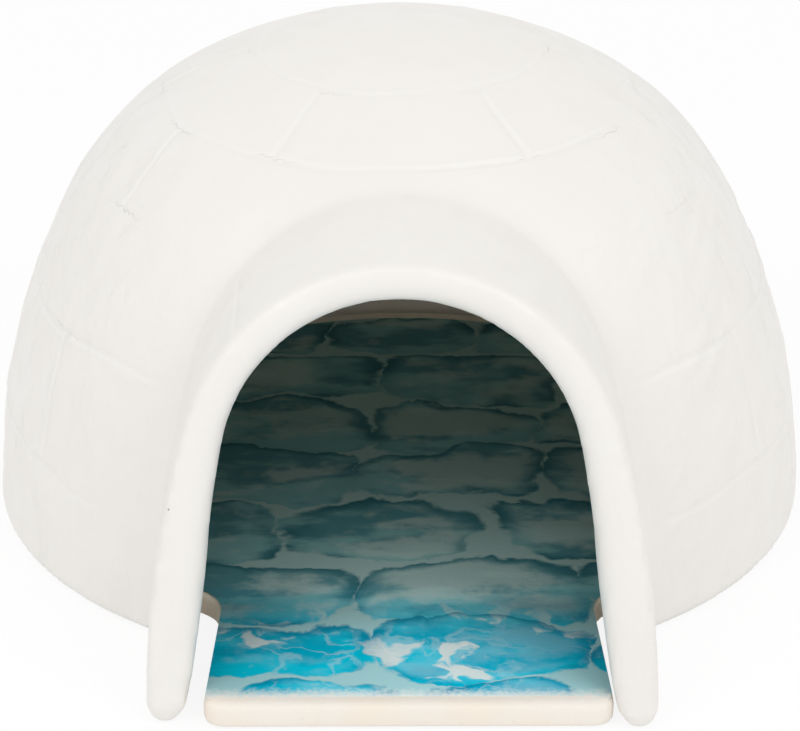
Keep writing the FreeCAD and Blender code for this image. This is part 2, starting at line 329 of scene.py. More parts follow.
def outline_arcs(shell, inset):
    """Centre x and z, radius, first and last lean of the dome's three outline arcs, foot upwards."""
    side_x = shell.dome_radius - shell.side_radius
    spare = shell.side_radius - shell.shoulder_radius
    shoulder_x = side_x + spare * math.cos(shell.side_end)
    shoulder_z = spare * math.sin(shell.side_end)
    crown_spare = shoulder_x / math.cos(shell.shoulder_end)
    crown_z = shoulder_z - crown_spare * math.sin(shell.shoulder_end)
    crown_radius = shell.shoulder_radius + crown_spare
    return (
        (side_x, 0.0, shell.side_radius - inset, 0.0, shell.side_end),
        (shoulder_x, shoulder_z, shell.shoulder_radius - inset, shell.side_end, shell.shoulder_end),
        (0.0, crown_z, crown_radius - inset, shell.shoulder_end, math.pi / 2),
    )


def crown_point(arcs):
    """The top of an outline on the axis."""
    _, centre_z, radius, _, _ = arcs[-1]
    return Vector((0, 0, centre_z + radius))


def dome_wall(shell):
    """The dome's wall with its rounded foot, without tunnel or doorway."""
    bm = bmesh.new()
    outer = outline_arcs(shell, 0)
    inner = outline_arcs(shell, shell.wall)
    foot = shell.foot_round
    tip = bm.verts.new(crown_point(inner))
    for centre_x, centre_z, radius, low, high in reversed(inner):
        stop = low if low > 0 else math.asin(foot / radius)
        tip = draw_arc(bm, tip, (centre_x, 0, centre_z), DOWNWARD, high - stop)
    tip = draw_arc(bm, tip, tip.co + Vector((foot, 0, 0)), UPWARD, math.pi / 2)
    tip = draw_line(bm, tip, (shell.dome_radius - foot, 0, tip.co.z))
    tip = draw_arc(bm, tip, tip.co + Vector((0, 0, foot)), UPWARD, math.pi / 2)
    for centre_x, centre_z, radius, low, high in outer:
        begin = low if low > 0 else math.asin(foot / radius)
        tip = draw_arc(bm, tip, (centre_x, 0, centre_z), UPWARD, high - begin)
    spun_round(bm)
    return bm


def dome_core(shell, inset):
    """The solid room inside an outline of the dome, run a little below the floor."""
    bm = bmesh.new()
    arcs = outline_arcs(shell, inset)
    tip = bm.verts.new(crown_point(arcs))
    for centre_x, centre_z, radius, low, high in reversed(arcs):
        tip = draw_arc(bm, tip, (centre_x, 0, centre_z), DOWNWARD, high - low)
    tip = draw_line(bm, tip, (tip.co.x, 0, -SKIRT))
    draw_line(bm, tip, (0, 0, -SKIRT))
    spun_round(bm)
    return bm


def arch_crown(half_width, height, leg_radius):
    """Centre height and radius of the arc that closes an arch, and the angle where it springs."""
    leg_x = leg_radius - half_width
    spare = leg_radius - height
    centre_z = (leg_x ** 2 - spare ** 2) / (2 * spare)
    return centre_z, height - centre_z, math.atan2(centre_z, leg_x)


def draw_arch(bm, start, half_width, height, leg_radius):
    """An arch of edges from a vertex on its right leg to one as high on its left, which it returns."""
    centre_z, _, spring = arch_crown(half_width, height, leg_radius)
    turn = spring - math.asin(start.co.z / leg_radius)
    tip = draw_arc(bm, start, (half_width - leg_radius, 0, 0), UPWARD, turn, ARCH_LEG_STEPS)
    tip = draw_arc(bm, tip, (0, 0, centre_z), UPWARD, math.pi - 2 * spring, ARCH_CROWN_STEPS)
    return draw_arc(bm, tip, (leg_radius - half_width, 0, 0), UPWARD, turn, ARCH_LEG_STEPS)


def outer_arch(shell):
    """Half width, height and leg radius of the tunnel's outside."""
    return shell.tunnel_half_width, shell.tunnel_height, shell.tunnel_leg_radius


def door_arch(shell):
    """Half width, height and leg radius of the doorway."""
    half_width = shell.tunnel_half_width - shell.leg_wall
    return half_width, shell.tunnel_height - shell.crown_wall, shell.door_leg_radius


def door_widening(shell, y):
    """The doorway's width at a place along Y, as a share of its width at the front."""
    return 1 + math.tan(shell.door_draft) * (y + shell.reach) / door_arch(shell)[0]


def front_gap(shell, point):
    """How far a point lies behind the tunnel's leaning front."""
    return point.y + shell.reach - point.z * math.tan(shell.front_lean) + point.x * math.tan(shell.front_yaw)


def at_leg_foot(shell, point):
    """Whether a point of the shell lies at the front foot of one of the tunnel's legs."""
    return point.z < FOOT_HEIGHT and front_gap(shell, point) < FOOT_DEPTH


def door_core(shell):
    """The solid room inside the doorway, flared at the legs' feet and run past front and floor."""
    bm = bmesh.new()
    half_width, _, leg_radius = door_arch(shell)
    leg_x = half_width - leg_radius + math.sqrt(leg_radius ** 2 - shell.flare_height ** 2)
    inner_round = shell.leg_inner_round
    flare = [(leg_x + shell.leg_flare + inner_round, 0, -SKIRT)]
    for step in range(FLARE_STEPS + 1):
        turn = step / FLARE_STEPS * math.pi / 2
        z = shell.flare_height * (1 - math.cos(turn))
        x = leg_x + shell.leg_flare * math.cos(turn) ** FLARE_POWER
        if z < inner_round:
            x += inner_round - math.sqrt(inner_round ** 2 - (inner_round - z) ** 2)
        flare.append((x, 0, z))
    tip = bm.verts.new(flare[0])
    for place in flare[1:]:
        tip = draw_line(bm, tip, place)
    tip = draw_arch(bm, tip, *door_arch(shell))
    for x, y, z in reversed(flare[:-1]):
        tip = draw_line(bm, tip, (-x, y, z))
    front = bmesh.ops.contextual_create(bm, geom=bm.verts[:])["faces"]
    extruded(bm, front, (0, -shell.reach - SKIRT, 0))
    for vert in bm.verts:
        vert.co.x *= door_widening(shell, vert.co.y)
    bmesh.ops.recalc_face_normals(bm, faces=bm.faces)
    return bm


def edges_where(bm, test):
    """The edges of a bmesh whose two ends pass a test."""
    return [edge for edge in bm.edges if all(test(vert.co) for vert in edge.verts)]


def rounded_over(bm, edges, radius, segments):
    """Rounds some edges of a bmesh."""
    bmesh.ops.bevel(
        bm,
        geom=edges,
        offset=radius,
        offset_type="OFFSET",
        segments=segments,
        profile=0.5,
        affect="EDGES",
        material=-1,
        clamp_overlap=True,
    )


def tunnel_band(shell):
    """The tunnel's wall from the dome's axis to its leaning front, rounded at the rim and at the feet."""
    bm = bmesh.new()
    outer = outer_arch(shell)
    door = door_arch(shell)
    for arch in (outer, door):
        draw_arch(bm, bm.verts.new((arch[0], 0, 0)), *arch)
    back = bmesh.ops.bridge_loops(bm, edges=bm.edges[:])["faces"]
    front_verts = extruded(bm, back, (0, -shell.reach, 0))
    for vert in bm.verts:
        if abs(arch_gap(door, vert.co)) < TOUCH:
            vert.co.x *= door_widening(shell, vert.co.y)
    lean = Matrix.Identity(4)
    lean[1][2] = math.tan(shell.front_lean)
    lean[1][0] = -math.tan(shell.front_yaw)
    bmesh.ops.transform(bm, matrix=lean, verts=front_verts)
    bmesh.ops.recalc_face_normals(bm, faces=bm.faces)

    def on_front(point):
        return abs(front_gap(shell, point)) < TOUCH

    outer_feet = edges_where(bm, lambda p: abs(p.z) < TOUCH and abs(arch_gap(outer, p)) < TOUCH)
    rounded_over(bm, outer_feet, shell.leg_outer_round, EDGE_SEGMENTS)
    inner_rim = edges_where(bm, lambda p: on_front(p) and abs(arch_gap(door, p)) < TOUCH)
    rounded_over(bm, inner_rim, shell.rim_inner_round, RIM_SEGMENTS)
    rim_depth = shell.leg_outer_round + TOUCH

    def on_outer_rim(point):
        return on_front(point) and (arch_gap(outer, point) > -rim_depth or abs(point.z) < TOUCH)

    outer_rim = [edge for edge in edges_where(bm, on_outer_rim) if edge.calc_face_angle(0) > SHARP]
    rounded_over(bm, outer_rim, shell.rim_outer_round, EDGE_SEGMENTS)
    bmesh.ops.recalc_face_normals(bm, faces=bm.faces)
    return bm


def into_object(name, bm):
    """A new object of the scene with a bmesh as its mesh."""
    mesh = bpy.data.meshes.new(name)
    bm.to_mesh(mesh)
    bm.free()
    obj = bpy.data.objects.new(name, mesh)
    bpy.context.scene.collection.objects.link(obj)
    return obj


def finished_mesh(obj):
    """The mesh of an object with its modifiers applied; the object is removed."""
    bpy.context.view_layer.update()
    evaluated = obj.evaluated_get(bpy.context.evaluated_depsgraph_get())
    mesh = bpy.data.meshes.new_from_object(evaluated)
    bpy.data.objects.remove(obj)
    return mesh


def cut_away(body, room):
    """The mesh of a body without the room that another solid takes."""
    cutter = into_object("cutter", room)
    whole = into_object("whole", body)
    cut = whole.modifiers.new("cut", "BOOLEAN")
    cut.operation = "DIFFERENCE"
    cut.solver = "MANIFOLD"
    cut.object = cutter
    mesh = finished_mesh(whole)
    bpy.data.objects.remove(cutter)
    return mesh


def evenly_meshed(bm, fineness):
    """A closed mesh of even faces over all the solids in a bmesh, joined where they overlap."""
    rough = into_object("rough", bm)
    remesh = rough.modifiers.new("even", "REMESH")
    remesh.mode = "VOXEL"
    remesh.voxel_size = fineness
    even = bmesh.new()
    even.from_mesh(finished_mesh(rough))
    return even


def smoothed(bm, verts, rounds):
    """Relaxes some vertices of a bmesh."""
    for _ in range(rounds):
        bmesh.ops.smooth_vert(bm, verts=verts, factor=0.5, use_axis_x=True, use_axis_y=True, use_axis_z=True)


def eased(value, low, high):
    """0 below low, 1 above high, and a smooth rise between."""
    share = min(1.0, max(0.0, (value - low) / (high - low)))
    return share * share * (3 - 2 * share)


def outline_place(arcs, point):
    """Lean of the dome at a point, its length along the outline, and its height over the outline."""
    radius = math.hypot(point.x, point.y)
    length = 0.0
    for centre_x, centre_z, arc_radius, low, high in arcs:
        lean = math.atan2(point.z - centre_z, radius - centre_x)
        if lean <= high or high >= math.pi / 2:
            height = math.hypot(point.z - centre_z, radius - centre_x) - arc_radius
            return lean, length + (lean - low) * arc_radius, height
        length += (high - low) * arc_radius
    raise ValueError("the outline has no arcs")


def outline_length(arcs, lean):
    """Length along the outline from the foot to a lean."""
    return sum((min(lean, high) - low) * radius for _, _, radius, low, high in arcs if lean > low)


def arch_gap(arch, point):
    """How far a point of the XZ plane lies outside an arch."""
    half_width, _, leg_radius = arch
    centre_z, crown_radius, spring = arch_crown(*arch)
    if point.z > 0 and math.atan2(point.z - centre_z, abs(point.x)) > spring:
        return math.hypot(point.x, point.z - centre_z) - crown_radius
    return math.hypot(abs(point.x) - half_width + leg_radius, point.z) - leg_radius


def bell(distance, width):
    """1 at no distance, and a smooth fall to 0 on both sides."""
    return math.exp(-((distance / width) ** 2))


def joint_relief(joints, distance):
    """Height of the surface beside a joint: a pressed line between a lip and a lesser lip."""
    line = -joints.depth * bell(distance, joints.width)
    lip = joints.lip * bell(distance - joints.lip_place, joints.width)
    lesser = LESSER_LIP * joints.lip * bell(distance + joints.lip_place, joints.width)
    return line + lip + lesser


def nearest_bed(arcs, length, wander):
    """Distance from the nearest bed joint, positive on its lip's side, and how plainly the joint shows."""
    found = []
    for lean, shows, lip_side in BED_JOINTS:
        distance = lip_side * (length - outline_length(arcs, lean) + wander)
        found.append((abs(distance), distance, shows))
    return min(found)[1:]


def nearest_upright(joints, lean, radius, azimuth, wander):
    """The same for the nearest upright joint of the course: its lip is on the side away from the front."""
    step = math.tau / joints.blocks
    away = 1 if azimuth > 0 else -1
    for course, bed_joint in enumerate(BED_JOINTS):
        if lean <= bed_joint[0]:
            half_bond = step / 2 if course % 2 == 0 else 0.0
            turn = (azimuth - half_bond + step / 2) % step - step / 2
            return away * (radius * turn + wander), UPRIGHT_SHOWS[course]
    return radius, 0.0


def tunnel_joint(shell, point):
    """Distance from the joint along the tunnel's crown, and how plainly it shows."""
    centre_z, crown_radius, _ = arch_crown(*outer_arch(shell))
    angle = math.atan2(abs(point.x), point.z - centre_z)
    shows = TUNNEL_LEFT_SHOWS if point.x < 0 else TUNNEL_RIGHT_SHOWS
    return crown_radius * (angle - shell.tunnel_joint), shows


def worked_relief(joints, point, along, up):
    """Height of the hand-worked unevenness: broad swells, finger dabs and slanting tool strokes."""
    swell = noise.noise(point / SWELL_SIZE)
    dab = noise.noise(point / DAB_SIZE + Vector((3, 5, 9)))
    stroke_along = (along + STROKE_SLANT * up) / STROKE_LENGTH
    stroke_across = (up - STROKE_SLANT * along) / STROKE_WIDTH
    stroke = noise.noise(Vector((stroke_along, stroke_across, 4)))
    at_side = FRONT_WORK + (1 - FRONT_WORK) * eased(abs(point.x), *WORKED_SIDE)
    patch = eased(noise.noise(point / STROKE_PATCH + Vector((2, 8, 1))), *STROKE_PATCHES)
    return joints.swell * (swell - 1) + at_side * (joints.dab * dab + joints.stroke * stroke * patch)


def levelling(height, tunnel_gap, behind_rim):
    """How far a point moves back onto the drawn outside, away from the seam and the rim."""
    if abs(height) < LEVEL_REACH and tunnel_gap > 0:
        return -height * eased(tunnel_gap, *LEVEL_FADE)
    if abs(tunnel_gap) < LEVEL_REACH:
        return -tunnel_gap * eased(height, *LEVEL_FADE) * eased(behind_rim, *LEVEL_FADE)
    return 0.0


def bareness(shell, point, height, tunnel_gap, behind_rim):
    """How bare of glaze the shell is: fully in the cabin, deep in the doorway and under the foot."""
    inside = eased(-height, *CABIN_INSIDE) if tunnel_gap > 0 or point.y > 0 else 0.0
    doorway = 0.0
    if point.y < 0:
        unwidened = Vector((point.x / door_widening(shell, point.y), 0, point.z))
        doorway = 1 - eased(arch_gap(door_arch(shell), unwidened), *DOORWAY_INSIDE)
    doorway *= eased(behind_rim, *DEEP_IN_DOORWAY)
    return max(inside, doorway, 1 - eased(point.z, *UNDERSIDE))


def sculpt_shell(bm, shell, joints):
    """Presses the block joints and the hand-worked unevenness into the shell's outside.

    Each vertex keeps its distances from the joints, how plainly they show and how bare of glaze it is.
    """
    outer = outline_arcs(shell, 0)
    tunnel = outer_arch(shell)
    layers = {name: bm.verts.layers.float.new(name) for name in SHELL_VALUES}
    bm.normal_update()
    moves = []
    for vert in bm.verts:
        # Where the vertex lies.
        point = vert.co
        radius = math.hypot(point.x, point.y)
        azimuth = math.atan2(point.x, -point.y)
        lean, length, height = outline_place(outer, point)
        tunnel_gap = arch_gap(tunnel, point) if point.y < 0 else FAR
        behind_rim = front_gap(shell, point)
        on_dome = eased(height, *DOME_OUTSIDE) * eased(tunnel_gap, *BESIDE_TUNNEL)
        in_front = point.y < 0 and height > -TUNNEL_START
        on_tunnel = eased(tunnel_gap, *TUNNEL_OUTSIDE) if in_front else 0.0
        # The nearest joints, which stray, fade in patches and leave a plain strip beside the tunnel.
        patch = Vector((radius * azimuth, length, 0)) / WANDER_SIZE
        wander = joints.wander * noise.noise(patch)
        patchy = eased(noise.noise(patch * FADE_SCALE + Vector((0, 0, 7))), *JOINT_PATCHES)
        near_top = eased(point.z, CROWN_START * shell.tunnel_height, shell.tunnel_height)
        quiet = joints.quiet * (1 - CROWN_LOSS * near_top)
        shown = on_dome * patchy * eased(tunnel_gap, STRIP_START * quiet, quiet)
        bed, bed_shows = nearest_bed(outer, length, wander)
        upright, upright_shows = nearest_upright(joints, lean, radius, azimuth, wander)
        upright_shows *= shown
        if on_tunnel > on_dome:
            upright, upright_shows = tunnel_joint(shell, point)
            upright_shows *= on_tunnel * eased(behind_rim, *BEHIND_RIM) * eased(height, *CLEAR_OF_DOME)
        # The line where the tunnel meets the dome shows more plainly at the left.
        seam = math.hypot(max(tunnel_gap, 0.0), max(height, 0.0))
        if point.y < 0 and seam < SEAM_WIDTH:
            seam_shows = SEAM_SHOWS + SEAM_LEFT_SHOWS * eased(-point.x, *SEAM_LEFT)
            upright, upright_shows = -seam, seam_shows * eased(seam, *SEAM_FADE)
        at_side = eased(abs(azimuth), *SIDE_TURN)
        bed_shows *= shown * (1 - SIDE_LOSS * at_side * eased(lean, *UPPER_LEAN))
        # How far the surface moves.
        relief = bed_shows * joint_relief(joints, bed) + upright_shows * joint_relief(joints, upright)
        worked = worked_relief(joints, point, radius * azimuth, length)
        worked *= (TUNNEL_WORK + (1 - TUNNEL_WORK) * on_dome) * max(on_dome, on_tunnel)
        rise = worked + relief + levelling(height, tunnel_gap, behind_rim)
        moves.append((vert, vert.normal * rise * eased(point.z, *ABOVE_FOOT)))
        vert[layers["bed_gap"]] = bed
        vert[layers["bed_shows"]] = bed_shows * bell(bed, joints.reach)
        vert[layers["upright_gap"]] = upright
        vert[layers["upright_shows"]] = upright_shows * bell(upright, joints.reach)
        vert[layers["bare"]] = bareness(shell, point, height, tunnel_gap, behind_rim)
    for vert, move in moves:
        vert.co += move
        vert.co.z = max(vert.co.z, 0.0)


def inner_seam_verts(bm, shell):
    """The vertices near the line where the doorway meets the dome's inside."""
    arcs = outline_arcs(shell, shell.wall)
    door = door_arch(shell)
    near = []
    for vert in bm.verts:
        if vert.co.y < 0 and abs(arch_gap(door, vert.co)) < SEAM_REACH:
            if abs(outline_place(arcs, vert.co)[2]) < SEAM_REACH:
                near.append(vert)
    return near


def new_piece(name, bm, material, body, slot, *nodes):
    """A finished, smooth-shaded piece that rides on a body and stands for some CAD nodes."""
    bmesh.ops.recalc_face_normals(bm, faces=bm.faces)
    for face in bm.faces:
        face.smooth = True
    obj = into_object(name, bm)
    obj.data.materials.append(material)
    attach(obj, body)
    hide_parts(*nodes)
    return obj


def keyhole(plate, radius, half_width, reach, corner, neck, forward):
    """A flat keyhole face at Z = 0: a round floor with a tongue, a little narrower at its neck."""
    bm = bmesh.new()
    neck_half = half_width - plate.tongue_taper
    neck_y = -math.sqrt((radius + neck) ** 2 - (neck_half + neck) ** 2)
    neck_turn = math.atan2(-neck_y, neck_half + neck)
    front = forward - reach
    tip = bm.verts.new((0, front, 0))
    tip = draw_line(bm, tip, (half_width - corner, front, 0))
    tip = draw_arc(bm, tip, (half_width - corner, front + corner, 0), ROUND_Z, math.pi / 2)
    tip = draw_line(bm, tip, (neck_half, neck_y, 0))
    tip = draw_arc(bm, tip, (neck_half + neck, neck_y, 0), -ROUND_Z, neck_turn)
    draw_arc(bm, tip, ORIGIN, ROUND_Z, math.pi / 2 + math.atan2(-tip.co.y, tip.co.x))
    bmesh.ops.mirror(bm, geom=bm.verts[:] + bm.edges[:], merge_dist=MERGE, axis="X")
    bmesh.ops.remove_doubles(bm, verts=bm.verts, dist=MERGE)
    bmesh.ops.contextual_create(bm, geom=bm.edges[:])
    bmesh.ops.translate(bm, verts=bm.verts, vec=(plate.side_shift, -forward, 0))
    return bm


def thickened(bm, thickness, low):
    """Raises a flat face into a slab that starts at a height."""
    extruded(bm, bm.faces[:], (0, 0, thickness))
    bmesh.ops.translate(bm, verts=bm.verts, vec=(0, 0, low))
    bmesh.ops.recalc_face_normals(bm, faces=bm.faces)


def plate_wave(point):
    """Slight unevenness of the plate's top."""
    return WAVE_HEIGHT * noise.noise(Vector((point.x, point.y, 0)) / WAVE_SIZE)


def fill(made, values):
    """Gives a node's inputs constants or other nodes' outputs."""
    for name, value in values.items():
        if isinstance(value, bpy.types.NodeSocket):
            made.id_data.links.new(value, made.inputs[name])
        else:
            made.inputs[name].default_value = value


def node(kind, inputs, **settings):
    """A new node in the tree of the outputs that it takes; returns its own outputs."""
    tree = next(value.id_data for value in inputs.values() if isinstance(value, bpy.types.NodeSocket))
    made = tree.nodes.new(kind)
    for name, value in settings.items():
        setattr(made, name, value)
    fill(made, inputs)
    return made.outputs


def maths(operation, first, second=0.0, clamp=False):
    """The output of a Math node."""
    return node("ShaderNodeMath", {0: first, 1: second}, operation=operation, use_clamp=clamp)[0]


def times(first, second, clamp=False):
    """Two values multiplied."""
    return maths("MULTIPLY", first, second, clamp)


def plus(first, second):
    """Two values added."""
    return maths("ADD", first, second)


def minus(first, second, clamp=False):
    """A value less another."""
    return maths("SUBTRACT", first, second, clamp)


def vector_maths(operation, first, second):
    """The output of a Vector Math node."""
    return node("ShaderNodeVectorMath", {0: first, 1: second}, operation=operation)[0]


def coordinate(place, axis):
    """One coordinate of a place."""
    return node("ShaderNodeSeparateXYZ", {"Vector": place})[axis]


def ramp(value, low, high, first=0.0, last=1.0):
    """A smooth change from one number to another as a value passes between two limits."""
    limits = {"Value": value, "From Min": low, "From Max": high, "To Min": first, "To Max": last}
    return node("ShaderNodeMapRange", limits, interpolation_type="SMOOTHSTEP")["Result"]


def mixed(share, first, second):
    """A colour between two others."""
    return node("ShaderNodeMix", {0: share, 6: opaque(first), 7: opaque(second)}, data_type="RGBA")[2]


def opaque(colour):
    """A colour with four channels, or an output as it is."""
    return colour if isinstance(colour, bpy.types.NodeSocket) else (*colour[:3], 1.0)


def noise_at(place, scale, detail, output="Fac"):
    """The value or the colour of a noise texture."""
    return node("ShaderNodeTexNoise", {"Vector": place, "Scale": scale, "Detail": detail})[output]


def strayed_place(place, scale, reach):
    """A place moved aside by noise."""
    centred = vector_maths("SUBTRACT", noise_at(place, scale, 3.0, "Color"), (0.5, 0.5, 0.5))
    return vector_maths("ADD", place, vector_maths("MULTIPLY", centred, reach))


def bumped(height, distance):
    """The normal of a bumped surface."""
    return node("ShaderNodeBump", {"Height": height, "Distance": distance, "Strength": 1.0})["Normal"]


def effect(name, inputs, outputs):
    """A new shader node group: its tree, what it is given, and the node that takes what it puts out."""
    tree = bpy.data.node_groups.new(name, "ShaderNodeTree")
    for label, kind, value in inputs:
        socket = tree.interface.new_socket(name=label, in_out="INPUT", socket_type=kind)
        if value is not None:
            socket.default_value = value
    for label, kind in outputs:
        tree.interface.new_socket(name=label, in_out="OUTPUT", socket_type=kind)
    return tree, tree.nodes.new("NodeGroupInput").outputs, tree.nodes.new("NodeGroupOutput")


def placed(group, **values):
    """A shader node group placed with its own values; returns its outputs."""
    return node("ShaderNodeGroup", values, node_tree=group)


def cloud_effect():
    """Soft patches, as a value from 0 to 1."""
    inputs = [("Place", VECTOR, None), ("Patches", NUMBER, 40.0)]
    tree, given, taken = effect("cloud", inputs, [("Cloud", NUMBER)])
    fill(taken, {"Cloud": ramp(noise_at(given["Place"], given["Patches"], 4.0), 0.3, 0.7)})
    return tree


def speck_effect():
    """Scattered small specks, as a mask."""
    inputs = [("Place", VECTOR, None), ("Cells", NUMBER, 400.0)]
    inputs += [("Size", NUMBER, 0.12), ("Share", NUMBER, 0.1)]
    tree, given, taken = effect("specks", inputs, [("Mask", NUMBER)])
    cells = node("ShaderNodeTexVoronoi", {"Vector": given["Place"], "Scale": given["Cells"]})
    pick = node("ShaderNodeSeparateColor", {"Color": cells["Color"]})[0]
    chosen = maths("LESS_THAN", pick, given["Share"])
    inside = minus(1.0, maths("DIVIDE", cells["Distance"], given["Size"]), clamp=True)
    fill(taken, {"Mask": times(ramp(inside, 0.0, 0.6), chosen)})
    return tree


def clay_effect(finish, cloud, specks):
    """Bare fired clay: its colour and the height of its grain."""
    outputs = [("Color", COLOUR), ("Grain", NUMBER)]
    tree, given, taken = effect("bare clay", [("Place", VECTOR, None)], outputs)
    place = given["Place"]
    patches = placed(cloud, Place=place, Patches=70.0)["Cloud"]
    dots = placed(specks, Place=place, Cells=520.0, Size=0.16, Share=0.12)["Mask"]
    body = mixed(times(patches, 0.35), finish.clay, finish.clay_warm)
    dotted = mixed(times(dots, 0.12), body, finish.speck)
    fill(taken, {"Color": dotted, "Grain": noise_at(place, scale=1500.0, detail=3.0)})
    return tree


def joint_effect():
    """A pressed joint at a distance from its middle: masks of its thin line and of the lip beside it."""
    inputs = [("Gap", NUMBER, 0.0), ("Shows", NUMBER, 1.0)]
    tree, given, taken = effect("joint", inputs, [("Line", NUMBER), ("Lip", NUMBER)])
    line = ramp(maths("ABSOLUTE", given["Gap"]), 0.15 * MM, 0.60 * MM, 1.0, 0.0)
    from_lip = maths("ABSOLUTE", minus(given["Gap"], 1.15 * MM))
    lip = ramp(from_lip, 0.20 * MM, 0.85 * MM, 1.0, 0.0)
    fill(taken, {"Line": times(line, given["Shows"]), "Lip": times(lip, given["Shows"])})
    return tree


def blank_material(name):
    """A new material: itself, its tree and its Principled shader."""
    material = bpy.data.materials.new(name)
    material.use_nodes = True
    tree = material.node_tree
    return material, tree, tree.nodes["Principled BSDF"]


def object_place(tree):
    """A place on a piece, in its Object coordinates."""
    return tree.nodes.new("ShaderNodeTexCoord").outputs["Object"]


def surface_value(tree, name):
    """A value that the piece's own mesh carries."""
    made = tree.nodes.new("ShaderNodeAttribute")
    made.attribute_name = name
    return made.outputs["Fac"]


def glaze_material(finish, groups):
    """White satin glaze, warmer where it is thin, darker in the joints and lighter on their lips, with bare
    clay where it stops. The lighter lips are a painted highlight; the darker joints are partly glaze pooling
    and partly painted shade.
    """
    material, tree, shader = blank_material("white_glaze")
    place = object_place(tree)
    patches = placed(groups["cloud"], Place=place, Patches=26.0)["Cloud"]
    mottle = placed(groups["cloud"], Place=place, Patches=160.0)["Cloud"]
    dots = placed(groups["specks"], Place=place, Cells=150.0, Size=0.045, Share=0.05)["Mask"]
    clay = placed(groups["clay"], Place=place)
    joints = []
    for kind in ("bed", "upright"):
        gap = surface_value(tree, kind + "_gap")
        joints.append(placed(groups["joint"], Gap=gap, Shows=surface_value(tree, kind + "_shows")))
    line, lip = (maths("MAXIMUM", joints[0][mask], joints[1][mask]) for mask in ("Line", "Lip"))
    lip = times(lip, minus(1.0, line))
    bare = ramp(plus(surface_value(tree, "bare"), times(mottle, 0.25)), 0.5, 0.8)
    thin = plus(times(patches, 0.25), times(mottle, 0.12))
    white = mixed(thin, finish.glaze, finish.glaze_warm)
    # Painted highlight: the joints' lips are lightened in colour, as if they caught the light.
    lit = mixed(times(lip, 0.35, clamp=True), white, finish.lip_painted_highlight)
    # Partly glaze pooling and partly painted shade: the joints' lines are darkened in colour as well as
    # pressed in.
    pooled = mixed(times(line, 0.22, clamp=True), lit, finish.joint_pool_and_painted_shade)
    dotted = mixed(times(dots, 0.8), pooled, finish.speck)
    colour = mixed(bare, dotted, clay["Color"])
    satin = ramp(mottle, 0.0, 1.0, 0.34, 0.46)
    rough = ramp(bare, 0.0, 1.0, satin, 0.85)
    fine = times(noise_at(place, scale=420.0, detail=3.0), 0.09)
    pressed = minus(times(lip, 0.35), times(line, 0.25))
    grain = times(times(clay["Grain"], bare), 0.25)
    at_side = ramp(maths("ABSOLUTE", coordinate(place, "X")), 26 * MM, 56 * MM, 0.9, 5.5)
    worked = times(noise_at(vector_maths("MULTIPLY", place, (1.0, 1.0, 0.6)), 130.0, 3.0), at_side)
    height = plus(plus(plus(fine, worked), pressed), grain)
    normal = bumped(height, 0.22 * MM)
    fill(shader, {"Base Color": colour, "Roughness": rough, "Normal": normal, "IOR": 1.5})
    return material


def clay_material(finish, groups):
    """Bare fired clay of the plate, paler on the front of its tongue."""
    material, tree, shader = blank_material("bare_clay")
    place = object_place(tree)
    clay = placed(groups["clay"], Place=place)
    inwards = ramp(coordinate(place, "Y"), PLATE_LOW.y + 3 * MM, PLATE_LOW.y + 16 * MM, 0.0, 0.6)
    tan = mixed(inwards, clay["Color"], finish.clay_warm)
    rough = ramp(clay["Grain"], 0.2, 0.8, 0.75, 0.92)
    normal = bumped(clay["Grain"], 0.08 * MM)
    fill(shader, {"Base Color": tan, "Roughness": rough, "Normal": normal})
    return material


def centred_share(place, cell):
    """Where a place lies in its cell, from -1 to 1."""
    return minus(times(minus(place, cell), 2.0), 1.0)


def stone_cells(place):
    """Ice stones in uneven rows: how far inside a stone, its own number, and the way to its far side."""
    broad = strayed_place(place, 26.0, (0.034, 0.032, 0))
    ragged = strayed_place(broad, 240.0, (0.0055, 0.0045, 0))
    row_place = maths("DIVIDE", coordinate(ragged, "Y"), STONE_DEPTH)
    row = maths("FLOOR", row_place)
    row_pick = node("ShaderNodeTexWhiteNoise", {"W": row}, noise_dimensions="1D")["Value"]
    stretch = node("ShaderNodeMath", {0: row_pick, 1: 0.35, 2: 0.8}, operation="MULTIPLY_ADD")[0]
    column_place = times(maths("DIVIDE", coordinate(ragged, "X"), STONE_WIDTH), stretch)
    column_place = plus(column_place, times(row_pick, 7.3))
    column = maths("FLOOR", column_place)
    cell = node("ShaderNodeCombineXYZ", {"X": column, "Y": row})["Vector"]
    pick = node("ShaderNodeTexWhiteNoise", {"Vector": cell}, noise_dimensions="2D")["Value"]
    across = centred_share(column_place, column)
    far = centred_share(row_place, row)
    cubes = [maths("POWER", maths("ABSOLUTE", side), 3.0) for side in (across, far)]
    from_middle = maths("POWER", plus(*cubes), 1 / 3)
    inward = minus(ramp(pick, 0.0, 1.0, 1.02, 1.14), from_middle)
    return inward, pick, far


def inked(finish, kind, masks):
    """The print in one set of inks, laid over each other by its masks."""
    light, deep, line, pale, gap = (getattr(finish, kind + ink) for ink in INKS)
    colour = mixed(masks["shade"], light, deep)
    colour = mixed(masks["pale"], colour, pale)
    colour = mixed(masks["line"], colour, line)
    return mixed(masks["gap"], colour, gap)


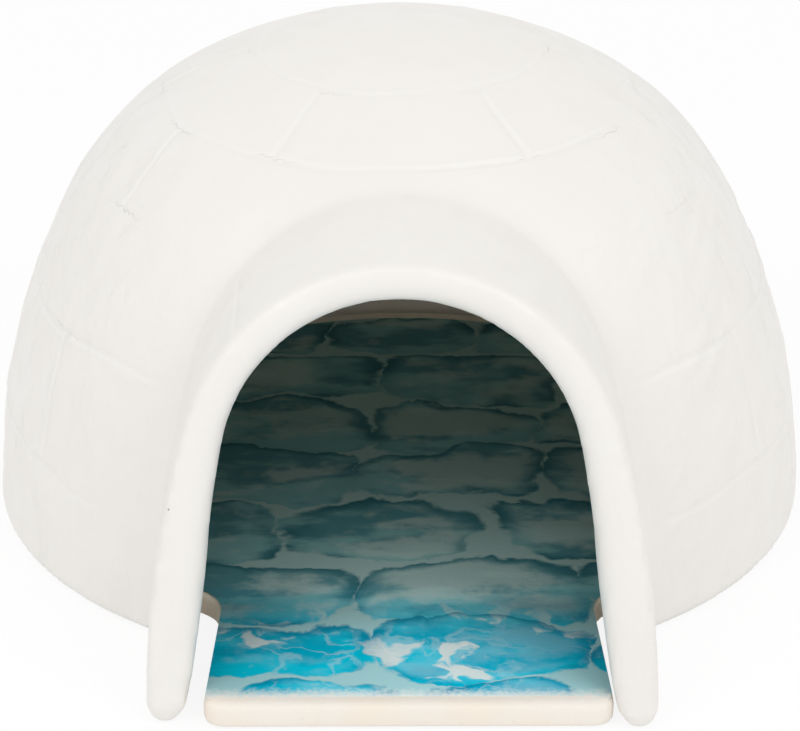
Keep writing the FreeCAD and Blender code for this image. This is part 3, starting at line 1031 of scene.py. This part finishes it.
def print_material(finish, plate, groups):
    """Fired-on print of watery blue ice stones, fading into the clay at its front edge; under the dome it
    has painted shade in darker, greyer inks, lightened towards the back as painted light.
    """
    material, tree, shader = blank_material("ice_print")
    place = object_place(tree)
    inward, pick, far = stone_cells(place)
    clay = placed(groups["clay"], Place=place)
    along = coordinate(place, "Y")
    front = plate.print_front - plate.reach
    # The tongue in front of the dome; behind it the print takes its painted-shade cabin inks.
    on_tongue = ramp(along, front + 44 * MM, front + 18 * MM)
    streaked = vector_maths("MULTIPLY", place, (0.45, 1.0, 1.0))
    wash = noise_at(streaked, scale=120.0, detail=6.0)
    cloud = noise_at(streaked, scale=75.0, detail=7.0)
    blot = noise_at(place, scale=300.0, detail=4.0)
    grain = noise_at(place, scale=1300.0, detail=2.0)
    vein_place = strayed_place(place, 90.0, (0.022, 0.018, 0))
    vein_off = maths("ABSOLUTE", minus(noise_at(vein_place, scale=58.0, detail=6.0), 0.5))
    vein = times(ramp(vein_off, 0.03, 0.0), 0.3)
    foam = times(ramp(noise_at(vein_place, scale=85.0, detail=9.0), 0.555, 0.625), 0.95)
    white = times(maths("MAXIMUM", foam, vein), on_tongue)
    cloudy = plus(cloud, times(minus(pick, 0.5), 0.12))
    cloudy = plus(cloudy, times(minus(blot, 0.5), 0.25))
    centre = times(ramp(cloudy, 0.44, 0.60), ramp(inward, 0.10, 0.42))
    shaded = plus(wash, times(far, 0.10))
    outline = times(ramp(inward, 0.32, 0.07), ramp(shaded, 0.36, 0.58, 0.15, 1.0))
    gap_edge = ramp(plus(cloud, times(blot, 0.3)), 0.45, 0.85, -0.02, 0.14)
    masks = {
        "shade": ramp(shaded, 0.41, 0.57),
        "pale": maths("MAXIMUM", times(centre, ramp(on_tongue, 0, 1, 0.65, 0.2)), white),
        "line": times(outline, 0.95),
        "gap": ramp(inward, plus(gap_edge, 0.06), minus(gap_edge, 0.03)),
    }
    # Painted shade: under the dome the print takes the darker, greyer cabin inks in place of the tongue's.
    cabin = inked(finish, "shade_painted_cabin_", masks)
    # Painted light: the cabin inks grow lighter towards the back, standing in for light that reaches it.
    cabin = vector_maths("MULTIPLY", cabin, ramp(along, -25 * MM, 45 * MM, 1.0, 1.3))
    stones = mixed(on_tongue, cabin, inked(finish, "ice_", masks))
    ragged = times(minus(grain, 0.5), 3.0 * MM)
    uneven = plus(along, plus(ragged, times(wash, 1.6 * MM)))
    washed_out = ramp(uneven, front + 5.5 * MM, front + 2.8 * MM, 0.0, 0.8)
    printed = ramp(uneven, front + 1.2 * MM, front + 3.4 * MM)
    colour = mixed(printed, clay["Color"], mixed(washed_out, stones, finish.ice_pale))
    rough = ramp(printed, 0.0, 1.0, 0.8, ramp(wash, 0.3, 0.7, 0.58, 0.70))
    normal = bumped(plus(clay["Grain"], times(centre, 0.6)), 0.06 * MM)
    fill(shader, {"Base Color": colour, "Roughness": rough, "Normal": normal, "Specular IOR Level": 0.03})
    return material


def shared_effects(finish):
    """The node groups that the materials share, made once."""
    groups = bpy.data.node_groups
    cloud = groups.get("cloud") or cloud_effect()
    specks = groups.get("specks") or speck_effect()
    return {
        "cloud": cloud,
        "specks": specks,
        "clay": groups.get("bare clay") or clay_effect(finish, cloud, specks),
        "joint": groups.get("joint") or joint_effect(),
    }


class IGLOO_OT_shell(Operator):
    """Model the glazed shell: dome and tunnel in one casting, with pressed block joints"""

    bl_idname = "igloo.shell"
    bl_label = "Model Shell"

    def execute(self, context):
        shell = context.scene.igloo_shell
        joints = context.scene.igloo_joints
        finish = context.scene.igloo_finish
        casting = bmesh.new()
        casting.from_mesh(cut_away(dome_wall(shell), door_core(shell)))
        flared = bmesh.new()
        flared.from_mesh(cut_away(tunnel_band(shell), door_core(shell)))
        casting.from_mesh(cut_away(flared, dome_core(shell, shell.wall / 2)))
        bm = evenly_meshed(casting, shell.fineness)
        smoothed(bm, bm.verts[:], SURFACE_ROUNDS)
        foot_edges = edges_where(bm, lambda p: at_leg_foot(shell, p))
        bmesh.ops.subdivide_edges(bm, edges=foot_edges, cuts=1, use_grid_fill=True)
        feet = [vert for vert in bm.verts if at_leg_foot(shell, vert.co)]
        smoothed(bm, feet, FOOT_ROUNDS)
        smoothed(bm, [vert for vert in feet if vert.co.z < FOOT_EDGE], FOOT_ROUNDS)
        smoothed(bm, inner_seam_verts(bm, shell), SEAM_ROUNDS)
        sculpt_shell(bm, shell, joints)
        material = glaze_material(finish, shared_effects(finish))
        new_piece("igloo_shell", bm, material, "dome", "white_glaze", "igloo_dome")
        return {"FINISHED"}


class IGLOO_OT_plate(Operator):
    """Model the loose clay plate that floors the igloo"""

    bl_idname = "igloo.plate"
    bl_label = "Model Clay Plate"

    def execute(self, context):
        plate = context.scene.igloo_plate
        finish = context.scene.igloo_finish
        slab = keyhole(
            plate, plate.radius, plate.tongue_half_width, plate.reach, plate.corner, plate.neck, forward=0.0
        )
        thickened(slab, plate.thickness, 0.0)
        level = [edge for edge in slab.edges if abs(edge.verts[0].co.z - edge.verts[1].co.z) < MERGE]
        rounded_over(slab, level, plate.edge_round, EDGE_SEGMENTS)
        bm = evenly_meshed(slab, plate.fineness)
        smoothed(bm, bm.verts[:], SURFACE_ROUNDS)
        for vert in bm.verts:
            share = eased(vert.co.z, 0.0, plate.thickness)
            vert.co.z += plate_wave(vert.co) * share
            vert.co.z = max(vert.co.z, 0.0)
        material = clay_material(finish, shared_effects(finish))
        new_piece("clay_plate", bm, material, "floor_plate", "bare_clay", "base_plate")
        return {"FINISHED"}


class IGLOO_OT_print(Operator):
    """Model the printed layer of ice stones on the plate"""

    bl_idname = "igloo.print"
    bl_label = "Model Ice Print"

    def execute(self, context):
        plate = context.scene.igloo_plate
        finish = context.scene.igloo_finish
        bm = keyhole(
            plate,
            plate.radius - plate.print_margin,
            plate.tongue_half_width - plate.print_side,
            plate.reach - plate.print_front,
            plate.corner - plate.print_side,
            plate.neck + plate.print_side,
            plate.print_forward,
        )
        thickened(bm, plate.print_thickness, plate.thickness)
        slope_end = plate.print_front - plate.reach + PRINT_SLOPE
        whole = bm.verts[:] + bm.edges[:] + bm.faces[:]
        bmesh.ops.bisect_plane(bm, geom=whole, dist=MERGE, plane_co=(0, slope_end, 0), plane_no=DOWNWARD)
        for vert in bm.verts:
            vert.co.z -= PRINT_SINK * max(0.0, slope_end - vert.co.y) / PRINT_SLOPE
        material = print_material(finish, plate, shared_effects(finish))
        new_piece("ice_stone_print", bm, material, "floor_plate", "ice_print", "ice_print")
        return {"FINISHED"}


# Camera: its distance and height follow from the photograph's perspective.
VIEW_DISTANCE = 0.6
VIEW_HEIGHT_ANGLE = 0.4705
VIEW_TILT = 0.43421
VIEW_SIDE_ANGLE = math.radians(-0.3)
IMAGE_WIDTH = 800
FOCAL_PIXELS = 2933
SENSOR_WIDTH = 36
SHIFT_PIXELS = 1
CLIP_START = 0.01
# Light: two square lamps, one at each side, and a white surround.
LAMP_SIDE = 0.567
LAMP_FRONT = 0.63
LAMP_HEIGHT = 0.877
LAMP_SIZE = 0.6
LAMP_AIM = Vector((0, 0, 0.04))
LEFT_POWER = 2.25
RIGHT_POWER = 2.4
SURROUND_STRENGTH = 0.775
# Floor: its half width, how far it lies under the object, its colour and how white it shows.
FLOOR_HALF_WIDTH = 3.0
FLOOR_DROP = 0.1 * MM
FLOOR_WHITE = (0.97, 0.97, 0.97, 1)
FLOOR_GLOW = 0.88


def add_camera():
    """The camera at the photograph's viewing angle."""
    data = bpy.data.cameras.new("camera")
    data.sensor_width = SENSOR_WIDTH
    data.lens = FOCAL_PIXELS * SENSOR_WIDTH / IMAGE_WIDTH
    data.shift_x = SHIFT_PIXELS / IMAGE_WIDTH
    data.clip_start = CLIP_START
    camera = bpy.data.objects.new("camera", data)
    level = VIEW_DISTANCE * math.cos(VIEW_HEIGHT_ANGLE)
    camera.location = (
        level * math.sin(VIEW_SIDE_ANGLE),
        -level * math.cos(VIEW_SIDE_ANGLE),
        VIEW_DISTANCE * math.sin(VIEW_HEIGHT_ANGLE),
    )
    camera.rotation_euler = (math.pi / 2 - VIEW_TILT, 0, VIEW_SIDE_ANGLE)
    bpy.context.scene.collection.objects.link(camera)
    bpy.context.scene.camera = camera


def add_soft_lamp(name, side, power):
    """A square soft lamp that faces the igloo from one side."""
    data = bpy.data.lights.new(name, "AREA")
    data.shape = "SQUARE"
    data.size = LAMP_SIZE
    data.energy = power
    lamp = bpy.data.objects.new(name, data)
    lamp.location = (side, -LAMP_FRONT, LAMP_HEIGHT)
    lamp.rotation_euler = (LAMP_AIM - lamp.location).to_track_quat("-Z", "Y").to_euler()
    bpy.context.scene.collection.objects.link(lamp)


def seen_directly(tree):
    """1 for rays from the camera, in mirrors and through glass, and 0 for light on the object."""
    path = tree.nodes.new("ShaderNodeLightPath").outputs
    mirrored = maths("MAXIMUM", path["Is Glossy Ray"], path["Is Transmission Ray"])
    return maths("MAXIMUM", path["Is Camera Ray"], mirrored)


def white_world(strength):
    """A white surround that lights the object at a plain level and shows white behind it."""
    world = bpy.data.worlds.new("studio")
    world.use_nodes = True
    tree = world.node_tree
    levels = {"Value": seen_directly(tree), "To Min": strength, "To Max": 1.0}
    level = node("ShaderNodeMapRange", levels)["Result"]
    fill(tree.nodes["Background"], {"Color": (1, 1, 1, 1), "Strength": level})
    bpy.context.scene.world = world


def floor_material():
    """White paper that keeps a part of the object's shadow."""
    material, tree, shader = blank_material("studio_floor")
    fill(shader, {"Base Color": FLOOR_WHITE, "Roughness": 0.9, "Specular IOR Level": 0.0})
    glow = tree.nodes.new("ShaderNodeEmission")
    fill(glow, {"Color": (1, 1, 1, 1), "Strength": 1.0})
    share = times(seen_directly(tree), FLOOR_GLOW)
    blend = node("ShaderNodeMixShader", {0: share, 1: shader.outputs[0], 2: glow.outputs[0]})
    fill(tree.nodes["Material Output"], {"Surface": blend[0]})
    return material


class IGLOO_OT_stage(Operator):
    """Set up the white floor, the soft studio light and the camera"""

    bl_idname = "igloo.stage"
    bl_label = "Set Up Stage"

    def execute(self, context):
        bm = bmesh.new()
        bmesh.ops.create_grid(bm, x_segments=1, y_segments=1, size=FLOOR_HALF_WIDTH)
        floor = into_object("studio_floor", bm)
        floor.location.z = -FLOOR_DROP
        floor.data.materials.append(floor_material())
        white_world(SURROUND_STRENGTH)
        add_soft_lamp("left_lamp", -LAMP_SIDE, LEFT_POWER)
        add_soft_lamp("right_lamp", LAMP_SIDE, RIGHT_POWER)
        add_camera()
        context.scene.view_settings.view_transform = "Standard"
        return {"FINISHED"}


class VIEW3D_PT_igloo(Panel):
    """The igloo's sizes and finishes, and the steps that make it"""

    bl_label = "Igloo"
    bl_space_type = "VIEW_3D"
    bl_region_type = "UI"
    bl_category = "Igloo"

    def draw(self, context):
        column = self.layout.column()
        for settings in SETTINGS:
            group = getattr(context.scene, settings)
            for name in group.__annotations__:
                column.prop(group, name)
        for step in STEPS:
            column.operator(step.bl_idname)


SETTINGS = {
    "igloo_shell": ShellSettings,
    "igloo_joints": JointSettings,
    "igloo_plate": PlateSettings,
    "igloo_finish": FinishSettings,
}
STEPS = (IGLOO_OT_shell, IGLOO_OT_plate, IGLOO_OT_print, IGLOO_OT_stage)
CLASSES = (*SETTINGS.values(), *STEPS, VIEW3D_PT_igloo)


def register():
    for item in CLASSES:
        bpy.utils.register_class(item)
    for name, group in SETTINGS.items():
        setattr(bpy.types.Scene, name, PointerProperty(type=group))


def unregister():
    for name in SETTINGS:
        delattr(bpy.types.Scene, name)
    for item in reversed(CLASSES):
        bpy.utils.unregister_class(item)


def main():
    register()
    bpy.ops.igloo.shell()
    bpy.ops.igloo.plate()
    bpy.ops.igloo.print()
    bpy.ops.igloo.stage()


if __name__ == "__main__":
    main()
